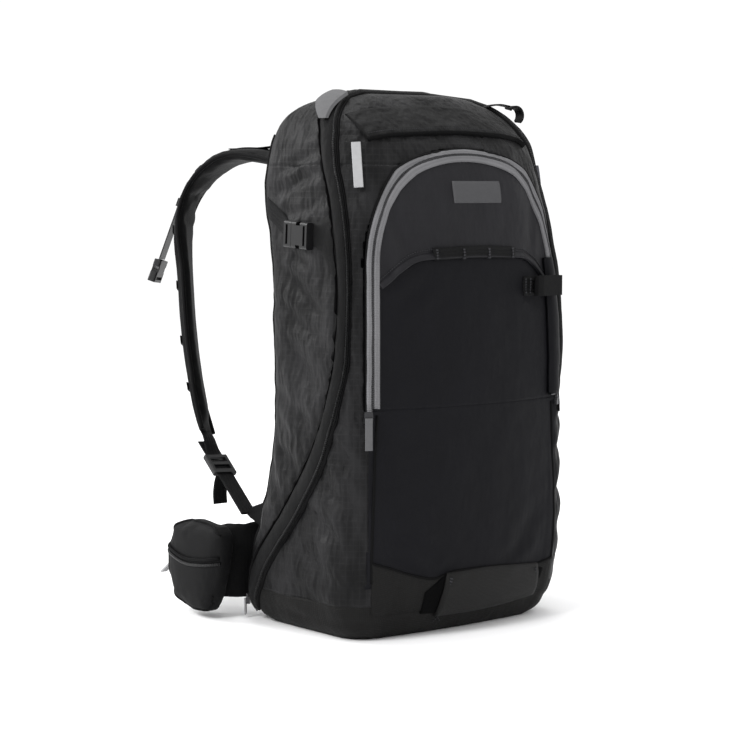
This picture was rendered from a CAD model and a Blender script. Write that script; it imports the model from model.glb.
"""Blender looks for the airbag backpack: fabric, zips, webbing, pads and studio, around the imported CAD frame.

Lengths are in millimetres in the row's frame and make_mesh turns them into metres. x runs to the wearer's
right, y from the front panel to the wearer's back, and z up.
"""

import math

import bpy
import numpy as np
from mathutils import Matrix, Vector
from mathutils.bvhtree import BVHTree


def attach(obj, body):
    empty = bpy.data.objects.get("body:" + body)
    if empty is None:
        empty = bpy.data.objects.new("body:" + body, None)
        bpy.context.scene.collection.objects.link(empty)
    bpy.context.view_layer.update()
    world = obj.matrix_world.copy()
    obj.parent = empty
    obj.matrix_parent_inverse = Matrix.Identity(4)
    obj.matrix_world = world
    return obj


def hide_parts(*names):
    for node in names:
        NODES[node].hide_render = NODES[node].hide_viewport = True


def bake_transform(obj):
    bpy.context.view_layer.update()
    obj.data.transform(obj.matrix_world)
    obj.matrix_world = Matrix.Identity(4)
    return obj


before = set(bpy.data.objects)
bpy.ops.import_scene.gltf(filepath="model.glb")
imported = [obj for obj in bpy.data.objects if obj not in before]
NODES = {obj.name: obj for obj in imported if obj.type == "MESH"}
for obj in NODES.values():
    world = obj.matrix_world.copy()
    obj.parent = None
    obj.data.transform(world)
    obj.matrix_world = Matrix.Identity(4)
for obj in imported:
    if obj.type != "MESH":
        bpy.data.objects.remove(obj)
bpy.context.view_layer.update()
MM = 0.001
UP = np.array([0.0, 0.0, 1.0])

# ---- the body's form ----
# height, half width, front, back, front corner radius, back corner radius, front bulge
STATIONS = np.array([
    (0, 132, -74, 96, 34, 34, 5), (8, 143, -84, 106, 38, 37, 7), (25, 152, -93, 113, 42, 38, 9),
    (60, 158, -99, 104, 44, 34, 11), (110, 160, -102, 82, 42, 30, 13), (170, 160, -103, 60, 40, 28, 14),
    (250, 160, -103, 47, 40, 28, 14), (340, 160, -102, 46, 40, 28, 13), (430, 158, -99, 61, 40, 28, 11),
    (490, 153, -94, 77, 42, 30, 8), (525, 149, -84, 75, 48, 34, 6), (545, 144, -70, 71, 52, 34, 4),
    (560, 136, -56, 65, 52, 34, 3), (571, 124, -45, 53, 50, 34, 2), (579, 106, -36, 36, 38, 28, 1.5),
    (584, 84, -27, 16, 22, 18, 1)], float)
# the burst strip's edges on the sides, as (y, z)
SEAM_FRONT = [(-20, 586), (-42, 562), (-65, 506), (-80, 465), (-87, 420), (-89.5, 366), (-88, 305),
              (-79, 262), (-56, 197), (-15, 138), (46, 70), (92, 10)]
SEAM_BACK = [(6, 586), (-18, 562), (-42, 506), (-60, 465), (-69, 420), (-74, 366), (-70, 305), (-59, 262),
             (-32, 204), (14, 142), (74, 72), (114, 10)]
# the front zip's arch, the height where its flap folds, and the heights of the crown and base seams
ARCH_HALF, ARCH_TOP, ARCH_SHOULDER, FOLD_Z = 138.0, 524.0, 400.0, 250.0
CROWN_Z, BASE_TOP, BODY_HEIGHT = 507.5, 40.0, 584
FRONT_FABRIC_Y = -84  # grid faces in front of this belong to the front
# a shoulder pad's middle line, with its width and thickness
STRAP_LINE = np.array([
    (-58, 83.5, 503, 62, 11), (-62, 130, 513, 66, 13), (-67, 178, 520, 66, 13), (-76, 224, 519, 66, 13),
    (-93, 259, 497, 65, 13), (-110, 278, 452, 62, 13), (-116, 272, 396, 58, 13), (-121, 257, 322, 54, 13),
    (-123, 237, 250, 46, 12), (-124, 212, 196, 36, 9)], float)
STRAP_TILT = 50  # degrees that the pad turns about its line
CLOTH_THICK, WEB_THICK, WEB_WIDTH = 2.2, 1.8, 20
CLOTH_FRAMES = 20
SIDES = {"left": -1, "right": 1}
FLOOR_HALF = 9000


def smooth(x, xs, ys):
    """Monotone cubic interpolation of a table."""
    xs, ys = np.asarray(xs, float), np.asarray(ys, float)
    h, d = np.diff(xs), np.diff(ys) / np.diff(xs)
    m = np.zeros(len(xs))
    for i in range(1, len(xs) - 1):
        if d[i - 1] * d[i] > 0:
            w1, w2 = 2 * h[i] + h[i - 1], h[i] + 2 * h[i - 1]
            m[i] = (w1 + w2) / (w1 / d[i - 1] + w2 / d[i])
    m[0], m[-1] = d[0], d[-1]
    x = np.clip(x, xs[0], xs[-1])
    k = np.clip(np.searchsorted(xs, x) - 1, 0, len(xs) - 2)
    t = (x - xs[k]) / h[k]
    return ((1 + 2 * t) * (1 - t) ** 2 * ys[k] + t * (1 - t) ** 2 * h[k] * m[k]
            + t * t * (3 - 2 * t) * ys[k + 1] + t * t * (t - 1) * h[k] * m[k + 1])


def outline(z, n_front=112, n_corner=26, n_side=52, n_rear=18, n_back=100):
    """The body's outline at a height, from the left end of the front round by the right."""
    half, front, back, rf, rb, bulge = [smooth(z, STATIONS[:, 0], STATIONS[:, c]) for c in range(1, 7)]
    run = half - rf
    x = np.linspace(-run, run, n_front, endpoint=False)
    pts = [np.stack([x, front - bulge * (1 - (x / run) ** 2)], 1)]

    def corner(cx, cy, r, start, n):
        a = np.radians(np.linspace(start, start + 90, n, endpoint=False))
        return np.stack([cx + r * np.cos(a), cy + r * np.sin(a)], 1)

    def line(p, q, n):
        return np.linspace(p, q, n, endpoint=False)
    pts.append(corner(run, front + rf, rf, -90, n_corner))
    pts.append(line((half, front + rf), (half, back - rb), n_side))
    pts.append(corner(half - rb, back - rb, rb, 0, n_rear))
    pts.append(line((half - rb, back), (rb - half, back), n_back))
    pts.append(corner(rb - half, back - rb, rb, 90, n_rear))
    pts.append(line((-half, back - rb), (-half, front + rf), n_side))
    pts.append(corner(-run, front + rf, rf, 180, n_corner))
    return np.concatenate(pts)


def waves(p, seed, count, length):
    """Smooth noise of about unit size: a sum of seeded sine waves of about one wavelength."""
    rng = np.random.default_rng(seed)
    total = np.zeros(p.shape[:-1])
    for _ in range(count):
        d = rng.normal(size=3)
        d /= np.linalg.norm(d)
        total += np.sin(p @ d * (2 * np.pi / (length * rng.uniform(0.7, 1.5))) + rng.uniform(0, 6.28))
    return total / math.sqrt(count / 2)


def crease(u, v, start, end, width, depth):
    """A fold along a line in a plane: a groove with a soft ridge on each side, fading at its ends."""
    a, b = np.array(start, float), np.array(end, float)
    d = b - a
    length = np.linalg.norm(d)
    d /= length
    s = ((u - a[0]) * d[0] + (v - a[1]) * d[1]) / length
    r = (-(u - a[0]) * d[1] + (v - a[1]) * d[0]) / width
    ends = np.exp(-np.clip(np.maximum(-s, s - 1), 0, None) ** 2 * (length / width) ** 2) * \
        np.clip(np.sin(np.clip(s, 0.02, 0.98) * np.pi), 0, 1) ** 0.5
    return depth * ends * (-np.exp(-r ** 2) + 0.75 * np.exp(-(r - 1.7) ** 2) + 0.45 * np.exp(-(r + 1.7) ** 2))


SIDE_CREASES = [  # (y, z) ends, width, depth
    ((38, 478), (-40, 500), 7, 2.6), ((34, 500), (-28, 520), 6, 2.2), ((24, 400), (-52, 340), 10, 3.0),
    ((22, 360), (-58, 318), 9, 2.4), ((16, 315), (-50, 262), 11, 2.6), ((20, 262), (-34, 222), 9, 2.0),
    ((34, 210), (-10, 176), 9, 2.2), ((-4, 330), (-22, 230), 12, 2.0), ((40, 190), (26, 132), 8, 1.8),
    ((56, 150), (30, 105), 8, 2.0), ((74, 118), (60, 74), 8, 1.8), ((30, 452), (-38, 462), 6, 1.8),
    ((18, 418), (-30, 398), 7, 1.8), ((-2, 540), (-30, 548), 6, 1.5)]
GUSSET_CREASES = [
    ((-70, 244), (-96, 214), 6, 2.4), ((-66, 216), (-100, 176), 8, 2.8), ((-50, 176), (-96, 132), 9, 3.0),
    ((-26, 138), (-92, 92), 10, 2.8), ((10, 100), (-78, 58), 10, 2.2), ((-86, 300), (-98, 258), 5, 1.6),
    ((46, 60), (-50, 30), 9, 1.6), ((-88, 160), (-96, 60), 7, 1.8)]
FRONT_CREASES = [  # (x, z)
    ((-112, 470), (-84, 412), 9, 1.8), ((-124, 420), (-96, 376), 8, 1.6), ((112, 470), (88, 410), 9, 1.6),
    ((-120, 120), (-60, 92), 10, 1.8), ((-118, 100), (-70, 66), 8, 1.8), ((104, 130), (60, 86), 11, 1.6),
    ((-110, 350), (-60, 384), 9, 1.4), ((100, 352), (60, 388), 9, 1.4), ((-128, 225), (-118, 150), 9, 1.2),
    ((96, 96), (40, 72), 8, 1.3), ((-20, 80), (-52, 60), 7, 1.4)]


def arch_x(z, grow=0.0):
    """Half width of the front zip's arch at a height."""
    rise = np.clip((np.asarray(z, float) - ARCH_SHOULDER) / (ARCH_TOP + grow - ARCH_SHOULDER), 0, 1)
    return (ARCH_HALF + grow) * np.sqrt(1 - rise ** 2)


def seam_y(z, edge):
    """A burst strip edge's y at a height."""
    ys, zs = np.array(edge)[::-1].T
    return smooth(z, zs, ys)


ROWS = np.linspace(0, BODY_HEIGHT, 235)
GRID = np.stack([np.pad(outline(z), ((0, 0), (0, 1)), constant_values=z) for z in ROWS])
N_ROW, N_COL = GRID.shape[:2]


def grid_normals(grid):
    """Unit outward normals of the body grid."""
    du = np.roll(grid, -1, 1) - np.roll(grid, 1, 1)
    dv = np.gradient(grid, axis=0)
    n = np.cross(du, dv)
    return n / np.maximum(np.linalg.norm(n, axis=2, keepdims=True), 1e-9)


def ease(value, low, high):
    """0 below low, 1 above high and smooth between."""
    t = np.clip((value - low) / (high - low), 0, 1)
    return t * t * (3 - 2 * t)


def body_displacement(p):
    """How far the fabric stands off the plain form: puff between seams, folds and slack."""
    x, y, z = p[..., 0], p[..., 1], p[..., 2]
    front = np.clip((-y - 70) / 22, 0, 1)
    left_right = np.clip((np.abs(x) - 118) / 30, 0, 1)
    gusset = left_right * (y < seam_y(z, SEAM_FRONT)) * (np.abs(x) > arch_x(z) - 4)
    side = left_right * (y > seam_y(z, SEAM_BACK)) * (y < 110)
    d = 0.8 * waves(p, 3, 14, 110) + 0.3 * waves(p * [1, 1, 1.6], 4, 16, 38) + 0.1 * waves(p, 5, 18, 13)
    d *= 0.35 + 0.65 * np.clip(side + gusset, 0, 1) * np.where(x < 0, 1.0, 0.45)
    mirrored = np.where(x < 0, 0.0, 9.0)
    for a, b, w, depth in SIDE_CREASES:
        d += side * crease(y + mirrored, z, a, b, w, depth)
    for a, b, w, depth in GUSSET_CREASES:
        d += gusset * crease(y + mirrored * 0.4, z, a, b, w, depth)
    for a, b, w, depth in FRONT_CREASES:
        d += front * crease(x, z, a, b, w, depth)
    # seams pull the fabric in
    arch_gap = np.abs(np.abs(x) - arch_x(z)) * front + 60 * (1 - front) + 60 * (z < FOLD_Z)
    d += -1.6 * np.exp(-(arch_gap / 8) ** 2)
    lower_seam = np.abs(np.abs(x) - smooth(z, [60, 93, 248, 260], [142, 140, 127, 130]))
    d += -2.0 * front * np.exp(-(lower_seam / 5) ** 2) * (z > 66) * (z < 246)
    for edge in (SEAM_FRONT, SEAM_BACK):
        d += -1.5 * left_right * np.exp(-((y - seam_y(z, edge)) / 6) ** 2) * (z < 550)
    d += -1.4 * np.exp(-((z - 20) / 5) ** 2)
    d += 1.6 * side * np.clip(np.cos((z - 300) / 250 * 1.4), 0, 1)
    inner = np.clip(1 - np.abs(x) / 110, 0, 1) * front
    d += 1.8 * inner * np.exp(-((z - 320) / 130) ** 2)
    flat = np.clip(z / 14, 0, 1) * np.clip((y < 40) + np.abs(x) / 150 - 0.4, 0, 1)
    return d * flat


def slump(points):
    """The empty pack's lean: its crown drops towards the right and the front right corner hangs back."""
    x, y, z = points[..., 0], points[..., 1], points[..., 2]
    drop = 8 * ease(x, 20, 100) * ease(z, 520, 565)
    by_height = np.interp(z, (300, 390, 430, 500, 545, 584), (0, 4, 9, 15, 13, 8))
    pull = ease(x, 60, 130) * ease(-y, 20, 75) * by_height
    return points + np.stack([-0.78 * pull, 0.63 * pull, -drop], -1)


SKIN = slump(GRID + grid_normals(GRID) * body_displacement(GRID)[..., None])
SKIN[..., 2] = np.maximum(SKIN[..., 2], 0)
ARC = np.concatenate([[0], np.cumsum(np.linalg.norm(np.diff(GRID[120], axis=0), axis=1))])


# ---- meshes ----
def make_mesh(name, verts, faces, finish, uvs=None):
    """An object from points and uvs in millimetres."""
    mesh = bpy.data.meshes.new(name)
    mesh.from_pydata((np.asarray(verts) * MM).tolist(), [], [list(map(int, f)) for f in faces])
    mesh.validate()
    if uvs is not None:
        layer = mesh.uv_layers.new(name="metres")
        index = np.zeros(len(mesh.loops), np.int32)
        mesh.loops.foreach_get("vertex_index", index)
        layer.data.foreach_set("uv", (np.asarray(uvs)[index] * MM).astype(np.float32).ravel())
    mesh.polygons.foreach_set("use_smooth", [True] * len(mesh.polygons))
    mesh.materials.append(finish)
    obj = bpy.data.objects.new(name, mesh)
    bpy.context.scene.collection.objects.link(obj)
    return obj


def belongs(obj, body, slot, *nodes, padded=None):
    """Puts a piece on its body, with its slot and the CAD nodes it stands for."""
    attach(obj, body)
    if nodes:
        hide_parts(*nodes)
    return obj


def quads(rows, count, closed=True):
    """The faces between rows of count points, all round them or open at the last."""
    pairs = [(k, (k + 1) % count) for k in range(count if closed else count - 1)]
    return [(i + a, i + b, i + count + b, i + count + a) for i in range(0, (rows - 1) * count, count)
            for a, b in pairs]


def end_caps(rows, count):
    """The faces that close the first and the last row."""
    return [tuple(range(count))[::-1], tuple(range((rows - 1) * count, rows * count))]


def skin_tree():
    """A search tree of the whole skin with its top closed."""
    verts = [tuple(v) for v in SKIN.reshape(-1, 3)]
    top = len(verts)
    verts.append(tuple(SKIN[-1].mean(0) + UP))
    fan = [(top - N_COL + j, top - N_COL + (j + 1) % N_COL, top) for j in range(N_COL)]
    return BVHTree.FromPolygons(verts, quads(N_ROW, N_COL) + fan)


TREE = skin_tree()


def on_skin(point, away, lift=0.0):
    """The skin's point under a place, seen along a direction, lifted off by a height; and its normal."""
    away = Vector(away).normalized()
    hit = TREE.ray_cast(Vector(point) + away * 90, -away, 200)
    if hit[0] is None:
        near = TREE.find_nearest(Vector(point))
        hit = (near[0], near[1] if near[1].dot(away) > 0 else -near[1])
    normal = hit[1] if hit[1].dot(away) > 0 else -hit[1]
    return np.array(hit[0] + normal * lift), np.array(normal)


def band(name, edge_a, edge_b, aways, finish, profile, across=6, skirt=-1.5):
    """A strip of fabric on the skin between two edges.

    The profile gives its height across its width, and skirt is the height of its two lower edges.
    """
    edge_a, edge_b = np.asarray(edge_a, float), np.asarray(edge_b, float)
    n = len(edge_a)
    aways = np.broadcast_to(np.asarray(aways, float), (n, 3))
    ws = np.linspace(0, 1, across)
    heights = np.interp(ws, np.linspace(0, 1, len(profile)), profile)
    along = lengths((edge_a + edge_b) / 2)
    verts, uvs = [], []
    for i in range(n):
        width = np.linalg.norm(edge_b[i] - edge_a[i])
        row = []
        for w, h in zip(ws, heights):
            row.append(on_skin(edge_a[i] * (1 - w) + edge_b[i] * w, aways[i], h))
        verts.append(row[0][0] + row[0][1] * (skirt - heights[0]))
        uvs.append((along[i], -1))
        for w, (p, _) in zip(ws, row):
            verts.append(p)
            uvs.append((along[i], w * width))
        verts.append(row[-1][0] + row[-1][1] * (skirt - heights[-1]))
        uvs.append((along[i], width + 1))
    return make_mesh(name, verts, quads(n, across + 2, closed=False) + end_caps(n, across + 2), finish, uvs)


def lengths(points):
    """The distance run along points, from 0."""
    return np.concatenate([[0], np.cumsum(np.linalg.norm(np.diff(points, axis=0), axis=1))])


def unit(vectors):
    """Each row of an array, as a unit vector."""
    return vectors / np.linalg.norm(vectors, axis=1, keepdims=True)


def resample(points, count=None, step=4.0):
    """Even samples along a smooth line through points."""
    p = np.asarray(points, float)
    if len(p) > 2:
        t = lengths(p)
        fine = np.linspace(0, t[-1], 400)
        p = np.stack([smooth(fine, t, p[:, c]) for c in range(p.shape[1])], 1)
    t = lengths(p)
    count = count or max(2, int(t[-1] / step) + 1)
    return np.stack([np.interp(np.linspace(0, t[-1], count), t, p[:, c]) for c in range(p.shape[1])], 1)


def ribbon(name, points, width, aways, finish, profile, across=5, step=4.0, sharp=False):
    """A strip of one width along a line on the skin. aways is one direction, or a function of the samples."""
    line = np.asarray(points, float) if sharp else resample(points, step=step)
    tangent = unit(np.gradient(line, axis=0))
    towards = np.broadcast_to(aways, (len(line), 3)) if np.ndim(aways) == 1 else aways(line)
    base, normals = [np.array(part) for part in zip(*[on_skin(p, d) for p, d in zip(line, unit(towards))])]
    half = unit(np.cross(normals, tangent)) * width / 2
    return band(name, base - half, base + half, normals, finish, profile, across)


def tube(name, points, radius, finish, sides=8, flat=1.0, up=(0.31, 0.2, 0.93)):
    """A round or oval cord along points."""
    p = np.asarray(points, float)
    run = lengths(p)
    verts, uvs = [], []
    for i, (c, t) in enumerate(zip(p, unit(np.gradient(p, axis=0)))):
        a = np.cross(t, np.array(up, float))
        a /= max(np.linalg.norm(a), 1e-6)
        b = np.cross(t, a)
        for k in range(sides):
            g = 2 * math.pi * k / sides
            verts.append(c + radius * (a * math.cos(g) + b * math.sin(g) * flat))
            uvs.append((run[i], k * 2 * math.pi * radius / sides))
    return make_mesh(name, verts, quads(len(p), sides) + end_caps(len(p), sides), finish, uvs)


def strip_3d(name, points, side, normal, width, thick, finish, across=6):
    """A free-standing flat strip with rounded edges: centre points, side and normal vectors for each."""
    p = np.asarray(points, float)
    n = len(p)
    side, normal = [np.broadcast_to(np.asarray(v, float), (n, 3)) for v in (side, normal)]
    ring = [(-1 + 2 * k / across, 1) for k in range(across + 1)]
    ring += [(w, -1) for w, _ in ring[::-1]]
    run = lengths(p)
    verts, uvs = [], []
    for i in range(n):
        for w, s in ring:
            h = s * thick / 2 * (1 - abs(w) ** 4 * 0.45)
            verts.append(p[i] + side[i] * w * width / 2 + normal[i] * h)
            uvs.append((run[i], (w + 1) * width / 2 + (0 if s > 0 else 100)))
    return make_mesh(name, verts, quads(n, len(ring)) + end_caps(n, len(ring)), finish, uvs)


# ---- materials ----
BANDS_PER_METRE = 314.0  # the wave texture's scale that gives bands a millimetre apart


def material(name, base, rough, bump, pattern, contrast, pitch=0.9, metal=0.0, coat=0.0, uv=True, gloss=0.08,
             crumple=0.0):
    """One procedural finish.

    pitch is the pattern's period in millimetres, and crumple how deep the fabric's soft folds look. Pieces
    made here have uvs in metres along and across the cloth; CAD nodes use their own coordinates.
    """
    mat = bpy.data.materials.new(name)
    mat.use_nodes = True
    tree = mat.node_tree
    nodes, links = tree.nodes, tree.links
    shader = nodes["Principled BSDF"]
    shader.inputs["Metallic"].default_value = metal
    shader.inputs["Coat Weight"].default_value = coat
    shader.inputs["Specular IOR Level"].default_value = gloss
    coord = nodes.new("ShaderNodeTexCoord")
    place = coord.outputs["UV"] if uv else coord.outputs["Object"]

    def noise(scale, detail, where=None, roughness=0.55):
        n = nodes.new("ShaderNodeTexNoise")
        n.inputs["Scale"].default_value = scale
        n.inputs["Detail"].default_value = detail
        n.inputs["Roughness"].default_value = roughness
        links.new(where or coord.outputs["Object"], n.inputs["Vector"])
        return n.outputs["Fac"]

    def wave(direction, period, distort=0.0):
        w = nodes.new("ShaderNodeTexWave")
        w.bands_direction = direction
        w.inputs["Scale"].default_value = BANDS_PER_METRE / period
        w.inputs["Distortion"].default_value = distort
        w.inputs["Detail"].default_value = 1.0
        links.new(place, w.inputs["Vector"])
        return w.outputs["Fac"]

    def compute(op, a, b):
        m = nodes.new("ShaderNodeMath")
        m.operation = op
        for socket, value in zip(m.inputs, (a, b)):
            if isinstance(value, (int, float)):
                socket.default_value = value
            else:
                links.new(value, socket)
        return m.outputs[0]

    def times(a, b):
        return compute("MULTIPLY", a, b)

    def plus(a, b):
        return compute("ADD", a, b)

    blotch, grain = noise(16, 4), noise(900, 3)
    if pattern == "weave":
        threads = times(wave("X", pitch), wave("Y", pitch * 1.02))
    elif pattern == "ripstop":
        grid = [compute("POWER", wave(axis, pitch * 5), 14.0) for axis in "XY"]
        fine = times(wave("X", pitch), wave("Y", pitch))
        threads = plus(times(compute("MAXIMUM", *grid), 0.5), times(fine, 0.6))
    elif pattern == "webbing":
        threads = plus(times(wave("X", pitch, 0.5), 0.6), times(wave("Y", pitch * 2.6), 0.5))
    elif pattern == "mesh":
        cells = nodes.new("ShaderNodeTexVoronoi")
        cells.inputs["Scale"].default_value = 1000 / pitch
        cells.inputs["Randomness"].default_value = 0.15
        links.new(coord.outputs["Object"], cells.inputs["Vector"])
        threads = cells.outputs["Distance"]
    elif pattern == "coil":
        threads = wave("X", pitch)
    else:
        threads = noise(260, 5)
    mixed = plus(times(blotch, 0.55), times(threads, 0.45))
    if crumple:
        stretch = nodes.new("ShaderNodeMapping")
        stretch.inputs["Scale"].default_value = (1.0, 1.0, 0.42)
        stretch.inputs["Rotation"].default_value = (0.5, 0.3, 0.2)
        links.new(coord.outputs["Object"], stretch.inputs["Vector"])
        wide = noise(24, 3, stretch.outputs["Vector"], 0.62)
        mixed = plus(mixed, times(compute("SUBTRACT", wide, 0.5), 3.0 * crumple))
    ramp = nodes.new("ShaderNodeValToRGB")
    for element, position, shade in zip(ramp.color_ramp.elements, (0.2, 0.8), (1 - contrast, 1 + contrast)):
        element.position = position
        element.color = (*(channel * shade for channel in base), 1)
    links.new(mixed, ramp.inputs["Fac"])
    links.new(ramp.outputs["Color"], shader.inputs["Base Color"])
    span = nodes.new("ShaderNodeMapRange")
    span.inputs["To Min"].default_value = max(rough - 0.09, 0.05)
    span.inputs["To Max"].default_value = min(rough + 0.09, 1)
    links.new(plus(times(grain, 0.5), times(blotch, 0.5)), span.inputs["Value"])
    links.new(span.outputs["Result"], shader.inputs["Roughness"])

    def relief(strength, distance, height):
        bump_node = nodes.new("ShaderNodeBump")
        bump_node.inputs["Strength"].default_value = strength
        bump_node.inputs["Distance"].default_value = distance
        links.new(height, bump_node.inputs["Height"])
        return bump_node

    surface = relief(bump, 0.0006, plus(threads, times(grain, 0.6)))
    if crumple:
        links.new(relief(crumple, 0.016, wide).outputs["Normal"], surface.inputs["Normal"])
    links.new(surface.outputs["Normal"], shader.inputs["Normal"])
    return mat


def cad_finish(name, base, rough, bump, contrast, **more):
    """A grainy finish for a CAD node."""
    return material(name, base, rough, bump, "grain", contrast, uv=False, **more)


M_SIDE = material("side_fabric", (0.0088, 0.0087, 0.0092), 0.48, 0.35, "ripstop", 0.5, 1.3, gloss=0.1,
                  crumple=1.0)
M_CROWN = material("crown_fabric", (0.0100, 0.0099, 0.0104), 0.48, 0.35, "ripstop", 0.5, 1.3, gloss=0.1,
                   crumple=0.9)
M_FRONT = material("front_fabric", (0.0052, 0.0052, 0.0066), 0.55, 0.3, "weave", 0.2, 1.2, gloss=0.07,
                   crumple=0.18)
M_FRONT_UP = material("front_upper_fabric", (0.0135, 0.0132, 0.0152), 0.5, 0.3, "weave", 0.2, 1.2, gloss=0.1,
                      crumple=0.35)
M_LID = material("lid_fabric", (0.0060, 0.0060, 0.0062), 0.55, 0.35, "ripstop", 0.45, 1.3, crumple=0.8)
M_BASE = material("base_fabric", (0.0082, 0.0080, 0.0078), 0.6, 0.5, "weave", 0.25, 2.0, crumple=0.3)
M_SEAM = material("seam_fabric", (0.0068, 0.0068, 0.0070), 0.6, 0.4, "weave", 0.2, 1.1, gloss=0.07,
                  crumple=0.5)
M_BIND = material("binding", (0.0030, 0.0030, 0.0032), 0.65, 0.5, "webbing", 0.25, 1.4, gloss=0.06)
M_TAPE = material("grey_zip_tape", (0.145, 0.144, 0.150), 0.75, 0.7, "webbing", 0.25, 1.7)
M_COIL = material("zip_coil", (0.035, 0.035, 0.037), 0.5, 1.0, "coil", 0.6, 2.2)
M_DARK_COIL = material("dark_zip_coil", (0.0035, 0.0035, 0.0038), 0.4, 1.0, "coil", 0.5, 2.4, gloss=0.2)
M_WEB = material("webbing", (0.0046, 0.0046, 0.0049), 0.6, 0.9, "webbing", 0.35, 1.6)
M_SLING = material("sling_webbing", (0.0082, 0.0080, 0.0078), 0.5, 0.5, "weave", 0.2, 1.4, gloss=0.12)
M_SLOT = material("slot_shadow", (0.0015, 0.0015, 0.0016), 0.85, 0.3, "weave", 0.3, 1.4, gloss=0.05)
M_MESH = material("spacer_mesh", (0.009, 0.009, 0.010), 0.8, 0.9, "mesh", 0.5, 3.2)
M_PAD = material("pad_fabric", (0.0042, 0.0042, 0.0045), 0.6, 0.4, "mesh", 0.25, 1.6)
M_STITCH = material("stitching", (0.022, 0.022, 0.024), 0.6, 0.9, "coil", 0.9, 3.0)
M_LINING = material("lining", (0.07, 0.07, 0.08), 0.7, 0.4, "mesh", 0.2, 1.5, uv=False)
M_AIRBAG = material("airbag_nylon", (0.62, 0.07, 0.02), 0.5, 0.4, "mesh", 0.2, 1.4, uv=False)
M_PULL_CAD = cad_finish("pull_rubber", (0.30, 0.30, 0.305), 0.6, 0.3, 0.15)
M_PULL_DARK = cad_finish("pull_rubber_dark", (0.085, 0.085, 0.088), 0.6, 0.3, 0.15)
M_TAB = cad_finish("corner_tab_fabric", (0.10, 0.10, 0.103), 0.65, 0.3, 0.2)
M_PAD_CAD = cad_finish("pad_fabric_hard", (0.0056, 0.0056, 0.0060), 0.6, 0.4, 0.25)
M_PLASTIC = cad_finish("buckle_plastic", (0.0050, 0.0050, 0.0054), 0.4, 0.12, 0.2, gloss=0.3)
M_WEB_CAD = cad_finish("webbing_solid", (0.0046, 0.0046, 0.0049), 0.62, 0.6, 0.3)
M_CYL = cad_finish("cylinder_paint", (0.5, 0.51, 0.53), 0.35, 0.05, 0.08, metal=0.6, gloss=0.5)
M_BRASS = cad_finish("valve_metal", (0.6, 0.42, 0.2), 0.3, 0.05, 0.1, metal=1.0, gloss=0.5)
M_STAY = cad_finish("stay_metal", (0.6, 0.6, 0.62), 0.35, 0.05, 0.1, metal=1.0, gloss=0.5)
M_RED = cad_finish("handle_plastic", (0.5, 0.035, 0.015), 0.38, 0.1, 0.12, coat=0.2, gloss=0.5)
M_BLACK_RUBBER = cad_finish("cable_rubber", (0.009, 0.009, 0.010), 0.5, 0.15, 0.2)
M_SLIDER = cad_finish("slider_metal", (0.03, 0.03, 0.032), 0.35, 0.05, 0.15, metal=0.7, gloss=0.5)
M_PATCH = cad_finish("patch_rubber", (0.060, 0.060, 0.063), 0.5, 0.15, 0.12)


# ---- the bag's skin ----
def skin_piece(name, chosen, finish):
    """The faces of the body grid that a mask picks, as one thick fabric piece."""
    rows, cols = np.nonzero(chosen)
    used, faces = {}, []
    verts, uvs = [], []
    for i, j in zip(rows, cols):
        k = (j + 1) % N_COL
        face = []
        after = ARC[j] + 2.5 if k == 0 else ARC[k]
        for a, b, u in ((i, j, ARC[j]), (i, k, after), (i + 1, k, after), (i + 1, j, ARC[j])):
            if (a, b) not in used:
                used[a, b] = len(verts)
                verts.append(SKIN[a, b])
                uvs.append((u, ROWS[a]))
            face.append(used[a, b])
        faces.append(face)
    obj = make_mesh(name, verts, faces, finish, uvs)
    solid = obj.modifiers.new("thickness", "SOLIDIFY")
    solid.thickness = CLOTH_THICK * MM
    solid.offset = -1
    return obj


centre = (GRID[:-1] + GRID[1:] + np.roll(GRID[:-1], -1, 1) + np.roll(GRID[1:], -1, 1)) / 4
cx, cy, cz = centre[..., 0], centre[..., 1], centre[..., 2]
facing = cy < FRONT_FABRIC_Y
in_flap = facing & (np.abs(cx) < arch_x(cz + 1, -2.2) - 1.5) & (cz > FOLD_Z) & (cz < ARCH_TOP - 5)
in_lower = facing & (np.abs(cx) < ARCH_HALF - 2) & (cz > 60) & (cz < FOLD_Z)
near_arch = facing & (np.abs(cx) < arch_x(cz - 1, 1.2) + 1.5) & (cz > FOLD_Z) & (cz < ARCH_TOP + 1)
between = (cz > BASE_TOP) & (cz < CROWN_Z)
outside = ~in_flap & ~in_lower & ~near_arch
back_wall = between & (np.abs(cx) < 128) & (cy > 5)
under_strip = (seam_y(cz, SEAM_FRONT) + seam_y(cz, SEAM_BACK)) / 2
front_side = between & (cy < under_strip) & outside
side = between & ~front_side & outside & ~back_wall

yoke_at = np.interp(np.abs(cx), [0, 60, 72, 92, 112, 138], [409, 409, 407, 399, 385, 374])
belongs(skin_piece("bag_front_flap", in_flap & (cz < yoke_at), M_FRONT), "front_flap", "front_fabric",
        "front_flap_panel")
belongs(skin_piece("bag_front_yoke", in_flap & (cz >= yoke_at), M_FRONT_UP), "front_flap", "front_fabric")
belongs(skin_piece("bag_front_lower", in_lower, M_FRONT), "bag", "front_fabric", "front_lower_panel")
belongs(skin_piece("bag_front_frame", front_side, M_SIDE), "bag", "side_fabric", "front_frame")
for label, sign in SIDES.items():
    belongs(skin_piece(f"bag_side_{label}", side & (cx * sign > 0), M_SIDE), "bag", "side_fabric",
            f"side_panel_{label}")
belongs(skin_piece("bag_back", back_wall, M_LID), "bag", "side_fabric", "back_wall")


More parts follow.
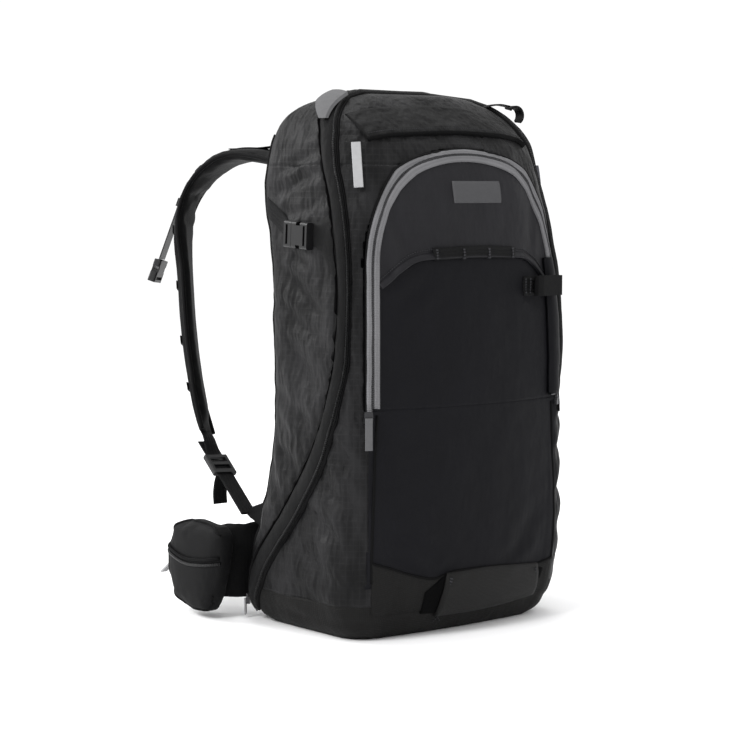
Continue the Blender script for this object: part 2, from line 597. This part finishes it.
def closed_end(name, chosen, finish, slot, node, top):
    """The crown or the base: the skin's end with a cap over it."""
    obj = skin_piece(name, chosen, finish)
    ring = SKIN[-1] if top else SKIN[0]
    middle = ring.mean(0)
    steps = [1.0, 0.94, 0.85, 0.7, 0.5, 0.25, 0.02]
    verts = np.concatenate([middle + (ring - middle) * s + UP * (1.2 * (1 - s * s) * top) for s in steps])
    faces = [face if top else face[::-1] for face in quads(len(steps), N_COL)]
    cap = make_mesh(name + "_cap", verts, faces, finish, verts[:, :2])
    cap.modifiers.new("thickness", "SOLIDIFY").thickness = 2 * MM
    belongs(cap, "bag", slot)
    return belongs(obj, "bag", slot, node)


closed_end("bag_crown", (cz > CROWN_Z) & ~in_flap & ~near_arch, M_CROWN, "lid_fabric", "lid_crown", True)
closed_end("bag_base", cz < BASE_TOP, M_BASE, "base_fabric", "base_panel", False)


def front_line(points):
    """(x, z) points of the front as places on the front."""
    return [(x, -110.0, z) for x, z in points]


def round_front(line):
    """Outward directions for a line on the front that turns onto the rounded corners."""
    turn = np.clip(np.abs(line[:, 0]) - 96, 0, 60) / 60 * 0.9
    up = np.clip(line[:, 2] - 500, 0, 60) / 60
    return np.stack([np.sign(line[:, 0]) * turn, -np.ones(len(line)), up], 1)


def arch_points(grow, z_low=FOLD_Z, count=130):
    """The arch as (x, z) points from the left leg's foot over the top to the right leg's foot."""
    angles = np.linspace(math.pi, 0, count)
    legs = np.linspace(z_low, ARCH_SHOULDER, 40, endpoint=False)
    xs = (ARCH_HALF + grow) * np.cos(angles)
    zs = ARCH_SHOULDER + (ARCH_TOP + grow - ARCH_SHOULDER) * np.sin(angles)
    left = [(-(ARCH_HALF + grow), z) for z in legs]
    return left + list(zip(xs, zs)) + [(-x, z) for x, z in left[::-1]]


def arch_band(name, inner, outer, z_low, finish, profile, across=5):
    """A strip round the arch between two offsets from the zip's line."""
    a, b = [np.array(front_line(arch_points(g, z_low))) for g in (inner, outer)]
    return band(name, a, b, round_front((a + b) / 2), finish, profile, across)


def sewn(name, points, width, finish, profile, across, body, slot, *nodes, step=4.0):
    """A ribbon along (x, z) points of the front, on its body."""
    strip = ribbon(name, front_line(points), width, round_front, finish, profile, across, step=step)
    return belongs(strip, body, slot, *nodes)


def panel(name, edge_a, edge_b, count, finish, profile, across, *nodes):
    """A base piece between two lines of (x, z) points of the front."""
    a, b = [resample(front_line(edge), count=count) for edge in (edge_a, edge_b)]
    return belongs(band(name, a, b, round_front(a), finish, profile, across), "bag", "base_fabric", *nodes)


# ---- front zip, yoke and slings ----
COIL = (2.6, 3.2, 2.6)
belongs(arch_band("zip_tape_outer", 1.0, 9.5, 240, M_TAPE, (2.0, 2.6, 2.4, 1.4)), "bag", "grey_tape",
        "front_zip_outer")
belongs(arch_band("zip_tape_inner", -9.5, -1.0, FOLD_Z + 1.5, M_TAPE, (1.4, 2.4, 2.6, 2.0)), "front_flap",
        "grey_tape", "front_zip_inner")
belongs(arch_band("zip_coil_outer", 0.1, 1.6, 240, M_COIL, COIL, 4), "bag", "grey_tape")
belongs(arch_band("zip_coil_inner", -1.6, -0.1, FOLD_Z + 1.5, M_COIL, COIL, 4), "front_flap", "grey_tape")
belongs(arch_band("zip_piping", 9.2, 12.0, 232, M_BIND, (1.0, 2.6, 1.0), 6), "bag", "side_fabric")

yoke_edge = [(-127, 380), (-112, 388), (-92, 402), (-72, 409), (-60, 410), (0, 411.5), (60, 410), (72, 409),
             (92, 401), (112, 387), (127, 378)]
sewn("yoke_hem", yoke_edge, 7, M_FRONT_UP, (3.2, 3.6, 2.0, 0.4), 6, "front_flap", "front_fabric",
     "front_yoke", step=3)
sewn("yoke_stitch", [(x, z + 7) for x, z in yoke_edge], 1.0, M_STITCH, (0.6, 0.9, 0.6), 3, "front_flap",
     "front_fabric", step=3)
sewn("front_strip_web", [(-57, 412), (0, 414), (57, 412)], 13, M_WEB, (2.6, 4.2, 4.2, 2.6), 6, "front_flap",
     "webbing", "front_strip")
for index, x in enumerate((-54, -18, 18, 54)):
    sewn(f"strip_bartack_{index}", [(x, 406), (x, 418)], 2.2, M_STITCH, (4.6, 4.9, 4.6), 3, "front_flap",
         "webbing")

for label, sign in SIDES.items():
    seam = [(sign * x, z) for x, z in ((131, 244), (134, 200), (137, 140), (139, 92), (139, 66))]
    sewn(f"front_seam_{label}", seam, 3.0, M_BIND, (0.4, 1.6, 0.4), 5, "bag", "front_fabric")

# lower reinforcement, ski sling and stitch marks
top = resample(front_line([(-139, 88), (-110, 80), (-80, 70), (-52, 64), (-20, 70), (40, 68), (95, 62),
                           (139, 66)]), count=60)
belongs(band("lower_reinforcement", top, top * [1, 1, 0] + [0, 0, 30], round_front(top), M_BASE,
             (1.6, 1.2, 1.2, 1.2, 1.0), 14), "bag", "base_fabric")
belongs(ribbon("reinforcement_hem", top, 3.0, round_front, M_BIND, (0.8, 2.4, 0.8), 5, sharp=True), "bag",
        "base_fabric")
panel("ski_sling", [(-36, 69), (10, 70), (104, 64)], [(-46, 22), (10, 22), (104, 28)], 30, M_SLING,
      (2.6, 5.0, 5.6, 5.4, 3.0), 12, "lower_sling")
panel("sling_mouth", [(-64, 50), (-38, 68)], [(-66, 27), (-46, 26)], 10, M_SLOT, (2.2, 2.6, 2.6, 2.2), 8)
panel("sling_mouth_right", [(104, 60), (117, 57)], [(104, 44), (114, 46)], 6, M_SLOT, (2.2, 2.4, 2.2), 6)
for index, line in enumerate(([(-32, 64), (-40, 34)], [(98, 60), (98, 38)])):
    sewn(f"sling_bartack_{index}", line, 3, M_STITCH, (4.6, 5.0, 4.6), 3, "bag", "base_fabric")
for index, line in enumerate(([(-44, 24), (-34, 14)], [(-44, 14), (-34, 24)])):
    sewn(f"cross_stitch_{index}", line, 1.2, M_STITCH, (0.6, 0.9, 0.6), 3, "bag", "base_fabric")

# the axe loop's sewn-down end, and the flap's edge that laps over the zip on the right
sewn("axe_loop_base", [(74, 375), (104, 374)], 21, M_WEB, (1.0, 2.4, 2.4, 2.4, 1.0), 7, "front_flap",
     "webbing")
for index, x in enumerate((77, 85)):
    sewn(f"axe_loop_bartack_{index}", [(x, 366), (x, 384)], 2.0, M_STITCH, (2.6, 2.9, 2.6), 3, "front_flap",
         "webbing")
lap_z = np.linspace(FOLD_Z + 3, 405, 40)
lap_a = np.array(front_line([(122, z) for z in lap_z]))
lap_b = np.array(front_line([(149.5 - 5 * ease(z, 380, 405), z) for z in lap_z]))
belongs(band("flap_right_lap", lap_a, lap_b, round_front(lap_b), M_FRONT, (0.6, 4.0, 4.6, 4.4, 3.4), 8,
             skirt=2.9), "front_flap", "front_fabric")

# two small tabs that join the crown's side loop to the skin
LOOP_TABS = {
    "crown_loop_upper_tab": [(88, -23, 572), (100, -23, 575), (115, -23, 576.5), (128, -23, 575)],
    "crown_loop_lower_tab": [(104, -23, 562), (113, -23, 562), (121, -23, 559), (128, -23, 556)]}
for name, points in LOOP_TABS.items():
    belongs(strip_3d(name, resample(points, count=10), (0, 1.0, 0), (0.3, 0, 0.95), 11, 2.2, M_WEB), "bag",
            "webbing")

# a plain generic patch on the yoke
patch = resample(front_line([(-24, 478), (44, 478)]), count=24)
belongs(ribbon("plain_patch", patch, 24, round_front, M_PATCH, (0.5, 1.4, 1.5, 1.5, 1.4, 0.5), 8, sharp=True),
        "front_flap", "front_fabric")


# ---- burst seam ----
def burst_edges():
    """Both edges of the burst strip and the outward directions, up the left side, over and down the right."""
    zs = np.linspace(12, 540, 120)
    front, back = [[(-np.interp(z, (470, 540), (160, 146)), seam_y(z, edge), z) for z in zs]
                   for edge in (SEAM_FRONT, SEAM_BACK)]
    away = [(-1.0, -0.35 if z > 200 else 0.25 * (z < 60), 0.0) for z in zs]
    for angle in np.linspace(18, 84, 30):
        c, s = math.cos(math.radians(angle)), math.sin(math.radians(angle))
        front_y = np.interp(angle, [14, 50, 84], [-48, -33, -19])
        x, z = -92 - 48 * c, 532 + 48 * s
        front.append((x, front_y, z))
        back.append((x, front_y + 24, z))
        away.append((-c, -0.2 * c, s))
    over = [[(x, y, BODY_HEIGHT) for x in np.linspace(-80, 80, 50)] for y in (-18, 6)] + [[(0, 0, 1.0)] * 50]
    return [np.array(left + middle + [(-x, y, z) for x, y, z in left[::-1]])
            for left, middle in zip((front, back, away), over)]


burst_front, burst_back, burst_away = burst_edges()
# name, where its edges lie between the strip's front (0) and back (1), finish, profile, across, slot, nodes
BURST_PIECES = [
    ("burst_cover", 0.0, 1.0, M_SEAM, (0.8, 3.4, 4.8, 5.2, 4.8, 3.4, 0.8), 12, "seam_fabric", "burst_flap"),
    ("burst_coil", 0.10, 0.24, M_DARK_COIL, (3.0, 5.2, 3.4), 5, "dark_zip", "burst_zipper"),
    ("burst_piping", 0.96, 1.08, M_BIND, (1.2, 4.2, 1.2), 7, "seam_fabric"),
    ("burst_edge_front", -0.08, 0.03, M_BIND, (0.6, 2.6, 1.0), 6, "seam_fabric")]
for name, start, end, finish, profile, across, slot, *nodes in BURST_PIECES:
    edges = [burst_front * (1 - share) + burst_back * share for share in (start, end)]
    belongs(band(name, *edges, burst_away, finish, profile, across), "bag", slot, *nodes)

# ---- lid flap and crown details ----
lid_line = resample([(-141, -110, 532), (-120, -110, 534), (-60, -110, 538), (0, -110, 540), (60, -110, 538),
                     (96, -110, 534), (120, -110, 528)], count=90)
lid_low = np.array([on_skin(p, d * [1, 1, 0], 0)[0] for p, d in zip(lid_line, round_front(lid_line))])
lid_high = resample([(-124, -50, 568), (-104, -54, 572), (-60, -52, 574), (0, -50, 575), (60, -52, 572),
                     (84, -54, 568), (100, -50, 562)], count=90)
lid_away = round_front(lid_low) + np.array([0, 0, 0.25])
belongs(band("lid_rain_flap", lid_low, lid_high, lid_away, M_LID, (4.6, 4.4, 3.4, 2.4, 1.2, 0.4), 14), "bag",
        "lid_fabric", "lid_flap")
belongs(band("lid_flap_hem", lid_low - [0, 0, 1.5], lid_low + [0, 0, 2.5], lid_away, M_BIND, (2.0, 5.4, 4.2),
             6), "bag", "lid_fabric")
belongs(ribbon("lid_flap_stitch", lid_low + [0, 0, 7], 1.0, round_front, M_STITCH, (4.4, 4.7, 4.4), 3,
               sharp=True), "bag", "lid_fabric")

# ---- back seams and compression straps ----
for label, sign in SIDES.items():
    rear = [(sign * 150, smooth(z, STATIONS[:, 0], STATIONS[:, 3]) - 9, z) for z in np.linspace(30, 540, 40)]
    belongs(ribbon(f"back_seam_{label}", rear, 3.4, (sign, 0.75, 0), M_BIND, (0.4, 2.2, 0.4), 6), "bag",
            "side_fabric")
for label, sign in SIDES.items():
    web = [(sign * 150, 58, 464), (sign * 160, 36, 453), (sign * 160, 8, 435)]
    belongs(ribbon(f"compression_web_{label}", web, 19, (sign, 0, 0), M_WEB, (0.4, 0.9, 0.9, 0.4), 6), "bag",
            "webbing", "compression_straps")
    upper = resample([(sign * 160, -36, 444), (sign * 160, -50, 449), (sign * 156, -66, 459)], count=16)
    lower = resample([(sign * 160, -36, 422), (sign * 160, -50, 414), (sign * 156, -74, 380)], count=16)
    belongs(band(f"compression_tab_{label}", upper, lower, (sign, -0.3, 0), M_SEAM, (1.2, 2.0, 2.0, 2.0, 1.2),
                 8), "bag", "webbing")


# ---- shoulder straps ----
def natural_spline(points, samples):
    """A natural cubic spline through points, by chord length: places and unit tangents."""
    p = np.asarray(points, float)
    t = lengths(p[:, :3])
    n = len(t)
    a, r = np.zeros((n, n)), np.zeros((n, p.shape[1]))
    a[0, 0] = a[-1, -1] = 1
    for i in range(1, n - 1):
        h0, h1 = t[i] - t[i - 1], t[i + 1] - t[i]
        a[i, i - 1: i + 2] = h0, 2 * (h0 + h1), h1
        r[i] = 6 * ((p[i + 1] - p[i]) / h1 - (p[i] - p[i - 1]) / h0)
    m = np.linalg.solve(a, r)
    s = np.linspace(0, t[-1], samples)
    k = np.clip(np.searchsorted(t, s) - 1, 0, n - 2)
    h = (t[k + 1] - t[k])[:, None]
    u, v = (t[k + 1] - s)[:, None], (s - t[k])[:, None]
    out = (m[k] * u ** 3 + m[k + 1] * v ** 3) / (6 * h) + (p[k] / h - m[k] * h / 6) * u + \
        (p[k + 1] / h - m[k + 1] * h / 6) * v
    return out, unit(np.gradient(out[:, :3], axis=0))


def strap_frames(sign, samples=110):
    """Centres, tangents, across and outward vectors, widths and thicknesses along a shoulder pad."""
    line = STRAP_LINE.copy()
    line[:, 0] *= -sign
    out, along = natural_spline(line, samples)
    u = np.linspace(0, 1, samples)
    tilt = np.radians(STRAP_TILT) * np.minimum(1, np.minimum(u / 0.6, 1 - (u - 0.85) * 1.6))
    across = np.stack([np.cos(tilt), -sign * np.sin(tilt), np.zeros(samples)], 1)
    across = unit(across - along * (across * along).sum(1, keepdims=True))
    outward = np.cross(across, along)
    from_middle = out[:, :3] - np.array([0, 90, 330])
    outward *= np.sign((outward * from_middle).sum(1, keepdims=True))
    return out[:, :3], along, across, outward, out[:, 3], out[:, 4]


def inflate(name, node, finish, cap=0.003, shrink=0.0015):
    """A padded piece: the CAD solid remeshed and swollen by a short cloth simulation.

    It starts smaller than the solid by shrink and no point moves by more than cap, both in metres.
    """
    obj = bpy.data.objects.new(name, NODES[node].data.copy())
    bpy.context.scene.collection.objects.link(obj)
    obj.data.materials.clear()
    obj.data.materials.append(finish)
    remesh = obj.modifiers.new("remesh", "REMESH")
    remesh.mode, remesh.voxel_size = "VOXEL", 0.005
    apply_modifiers(obj)
    co = coordinates(obj.data)
    normals = np.zeros(len(obj.data.vertices) * 3, np.float32)
    obj.data.vertices.foreach_get("normal", normals)
    start = co - normals.reshape(-1, 3) * shrink
    obj.data.vertices.foreach_set("co", start.astype(np.float32).ravel())
    cloth = obj.modifiers.new("cloth", "CLOTH")
    cloth.settings.quality = 4
    cloth.settings.mass = 0.3
    cloth.settings.use_pressure = True
    cloth.settings.uniform_pressure_force = 4.0
    cloth.settings.effector_weights.gravity = 0
    cloth.point_cache.frame_start, cloth.point_cache.frame_end = 1, CLOTH_FRAMES
    for step in range(1, CLOTH_FRAMES + 1):
        bpy.context.scene.frame_set(step)
    graph = bpy.context.evaluated_depsgraph_get()
    done = coordinates(obj.evaluated_get(graph).data)
    obj.modifiers.remove(cloth)
    bpy.context.scene.frame_set(1)
    move = done - start
    size = np.linalg.norm(move, axis=1, keepdims=True)
    start = start + move * np.minimum(1, cap / np.maximum(size, 1e-9))
    obj.data.vertices.foreach_set("co", start.astype(np.float32).ravel())
    obj.modifiers.new("smooth", "SUBSURF").levels = 1
    obj.modifiers["smooth"].render_levels = 1
    apply_modifiers(obj)
    obj.data.polygons.foreach_set("use_smooth", [True] * len(obj.data.polygons))
    return obj


def coordinates(mesh):
    """A mesh's points as an array."""
    co = np.zeros(len(mesh.vertices) * 3, np.float32)
    mesh.vertices.foreach_get("co", co)
    return co.reshape(-1, 3).astype(float)


def apply_modifiers(obj):
    """Gives the object the mesh that its modifiers make."""
    graph = bpy.context.evaluated_depsgraph_get()
    mesh = bpy.data.meshes.new_from_object(obj.evaluated_get(graph))
    obj.modifiers.clear()
    obj.data = mesh


def blended(obj, node):
    """A strap that bends between the bag and a moving body, from one place to the other."""
    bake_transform(obj)
    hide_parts(node)


def pad_trim(label, sign, body):
    """The pad's bound edges, its webbing with keepers, and the webbing from its end to the ladder lock."""
    p, along, across, outward, width, thick = strap_frames(sign)
    for edge in (-1, 1):
        rim = p + across * (edge * (width / 2 - 1.0))[:, None]
        where = "in" if edge * sign < 0 else "out"
        belongs(tube(f"pad_binding_{label}_{where}", rim[1:-1], 2.6, M_BIND), body, "webbing")
    spine = p + outward * (thick / 2 + 1.0)[:, None]
    part = slice(22, 106)
    belongs(strip_3d(f"pad_webbing_{label}", spine[part], across[part], outward[part], WEB_WIDTH, WEB_THICK,
                     M_WEB), body, "webbing")
    for index, place in enumerate((40, 56, 70, 84, 96)):
        if label == "right" and 60 < place < 90:
            continue  # the trigger's holster is there
        near = slice(place - 1, place + 2)
        belongs(strip_3d(f"pad_keeper_{label}_{index}", (spine + outward * 1.4)[near], across[near],
                         outward[near], 30, 2.2, M_WEB), body, "webbing")
    foot = resample([p[-7] + outward[-5] * 5, p[-3] + outward[-3] * 4, p[-1] + along[-1] * 2 + outward[-1],
                     (sign * 124, 203, 176), (sign * 124, 196.5, 168)], count=18)
    turn = np.linspace(0, 1, 18)[:, None]
    over = unit(across[-5] * (1 - turn) + np.array([1.0, 0, 0]) * turn * np.sign(across[-5][0]))
    face = unit(np.cross(over, np.gradient(foot, axis=0)))
    belongs(strip_3d(f"lock_web_{label}", foot, over, face, WEB_WIDTH, WEB_THICK, M_WEB), body, "webbing")


def strap_webs(label, sign, body):
    """The load lifter, the lower webbing from the ladder lock to the base corner, and its loose tail."""
    t = np.linspace(0, 1, 40)[:, None]
    start, end = np.array([sign * 62, 66.0, 543.0]), np.array([sign * 74, 226.0, 528.0])
    line = start * (1 - t) + end * t - np.array([0, 0, 5.0]) * np.sin(np.pi * t)
    lifter = strip_3d(f"lifter_web_{label}", line, (1.0, 0, 0), (0, 0.08, 1.0), WEB_WIDTH, WEB_THICK, M_WEB)
    blended(lifter, f"load_lifter_{label}")
    top, anchor = np.array([sign * 124, 200.0, 172.0]), np.array([sign * 132, 124.0, 117.0])
    down = (anchor - top) / np.linalg.norm(anchor - top)
    line = (top + down * 8) * (1 - t) + (anchor + down * 3) * t
    normal = np.cross((1.0, 0, 0), down)
    lower = strip_3d(f"lower_web_{label}", line, (1.0, 0, 0), normal, WEB_WIDTH, 2.0, M_WEB)
    blended(lower, "strap_webbings")
    tail = top + down * 26 + np.array([(0, 0, 0), (0, 6, -14), (0, 8, -27), (0, 7, -38)])
    belongs(strip_3d(f"web_tail_{label}", resample(tail, count=20), (1.0, 0, 0), (0, 1.0, 0.1), 19, WEB_THICK,
                     M_WEB), body, "webbing")


for label, sign in SIDES.items():
    pad = inflate(f"pad_{label}", f"shoulder_pad_{label}", M_PAD)
    belongs(pad, f"shoulder_{label}", "pad_fabric", f"shoulder_pad_{label}", padded=0.8)
    pad_trim(label, sign, f"shoulder_{label}")
    strap_webs(label, sign, f"shoulder_{label}")

# ---- hip belt ----
POCKET_LINES = [  # name, (y, z) points on the pocket's outer face, radius, finish, height off the face
    ("zip", [(94, 68), (120, 63), (150, 61), (180, 66), (203, 74)], 2.0, M_DARK_COIL, 0.8),
    ("zip_flap", [(94, 74), (120, 69), (150, 67), (180, 72), (203, 80)], 2.2, M_BIND, 1.0),
    ("piping", [(98, 98), (112, 106), (150, 109), (184, 100), (196, 76), (196, 46), (184, 20), (150, 10),
                (124, 11), (114, 28)], 1.7, M_BIND, 0.2)]
POCKET_FACE_X, FACE_REACH = 178, 80  # about where the pocket's face is, and how far outside it the rays start


def on_pocket(tree, sign, y, z, lift):
    """The place on a pocket's outer face at a y and z, in millimetres, or None where the pocket isn't."""
    start = Vector((sign * (POCKET_FACE_X + FACE_REACH), y, z)) * MM
    hit = tree.ray_cast(start, Vector((-sign, 0, 0)), 0.15)
    return None if hit[0] is None else np.array(hit[0]) / MM + np.array(hit[1]) * lift


for label, sign in SIDES.items():
    body = f"hip_{label}"
    belongs(inflate(f"belt_wing_{label}", f"hip_wing_{label}", M_PAD), body, "pad_fabric",
            f"hip_wing_{label}", padded=0.8)
    pocket = inflate(f"belt_pocket_{label}", f"hip_pocket_{label}", M_PAD, cap=0.006, shrink=0.004)
    tree = BVHTree.FromObject(pocket, bpy.context.evaluated_depsgraph_get())
    belongs(pocket, body, "pad_fabric", f"hip_pocket_{label}", padded=0.7)
    for name, points, radius, finish, lift in POCKET_LINES:
        places = [on_pocket(tree, sign, y, z, lift) for y, z in resample(points, step=3)]
        places = [place for place in places if place is not None]
        belongs(tube(f"pocket_{name}_{label}", places, radius, finish, 7, flat=0.8, up=(1, 0, 0)), body,
                "pad_fabric")

# ---- back pads ----
belongs(inflate("back_padding", "back_pads", M_MESH), "bag", "mesh_foam", "back_pads", padded=0.75)

# ---- CAD nodes that stay, with their finishes ----
KEPT = {
    M_PLASTIC: ["compression_females", "compression_male_left", "compression_male_right", "ladder_lock_left",
                "ladder_lock_right", "sternum_half_left", "sternum_half_right", "waist_buckle_left",
                "waist_buckle_right", "inflation_ejector", "frame_sheet"],
    M_LINING: ["divider_wall", "tool_sleeves"],
    M_WEB_CAD: ["axe_loop", "crown_loops", "webbing_tabs"],
    M_PULL_DARK: ["front_pull"],
    M_PULL_CAD: ["lid_pull", "burst_pull", "pocket_pull_left", "pocket_pull_right"],
    M_TAB: ["top_corner_tab"],
    M_AIRBAG: ["airbag_packed"], M_CYL: ["air_cylinder"], M_BRASS: ["cylinder_valve", "valve_plunger"],
    M_STAY: ["frame_stays"], M_RED: ["trigger_handle", "gauge_needle"], M_BLACK_RUBBER: ["trigger_cable"],
    M_SLIDER: ["front_slider", "burst_slider"], M_PAD_CAD: ["trigger_holster"],
}
for finish, names in KEPT.items():
    for node in names:
        NODES[node].data.materials.clear()
        NODES[node].data.materials.append(finish)

# ---- studio ----
corners = [(x * FLOOR_HALF, y * FLOOR_HALF, 0) for x, y in ((-1, -1), (1, -1), (1, 1), (-1, 1))]
floor = make_mesh("studio_floor", corners, [(0, 1, 2, 3)],
                  cad_finish("studio_floor", (0.975, 0.975, 0.98), 0.7, 0.02, 0.01))

scene = bpy.context.scene
world = bpy.data.worlds.new("studio")
world.use_nodes = True
background = world.node_tree.nodes["Background"]
background.inputs["Color"].default_value = (1.0, 1.0, 1.0, 1)
background.inputs["Strength"].default_value = 1.06
scene.world = world
scene.view_settings.view_transform = "Standard"


def area_light(name, place, height, size, power):
    """A square lamp that shines at a height on the pack's middle line; metres and watts."""
    data = bpy.data.lights.new(name, "AREA")
    data.size, data.energy = size, power
    light = bpy.data.objects.new(name, data)
    light.location = place
    light.rotation_euler = (Vector((0, 0, height)) - Vector(place)).to_track_quat("-Z", "Y").to_euler()
    scene.collection.objects.link(light)


area_light("key", (-2.6, -0.2, 2.0), 0.35, 1.0, 60)
area_light("fill", (1.8, -2.2, 1.4), 0.3, 1.8, 5)
area_light("top", (0.2, 0.4, 2.6), 0.3, 1.2, 22)
area_light("rim", (-1.2, 2.0, 1.5), 0.35, 1.0, 30)

camera = bpy.data.objects.new("camera", bpy.data.cameras.new("camera"))
scene.collection.objects.link(camera)
camera.data.sensor_width = 36
camera.data.lens = 105.1
camera.location = (-1.536, -1.831, 0.480)
heading, pitch = math.radians(38.89), math.radians(4.71)
look = Vector((math.sin(heading) * math.cos(pitch), math.cos(heading) * math.cos(pitch), -math.sin(pitch)))
camera.rotation_euler = look.to_track_quat("-Z", "Y").to_euler()
scene.camera = camera
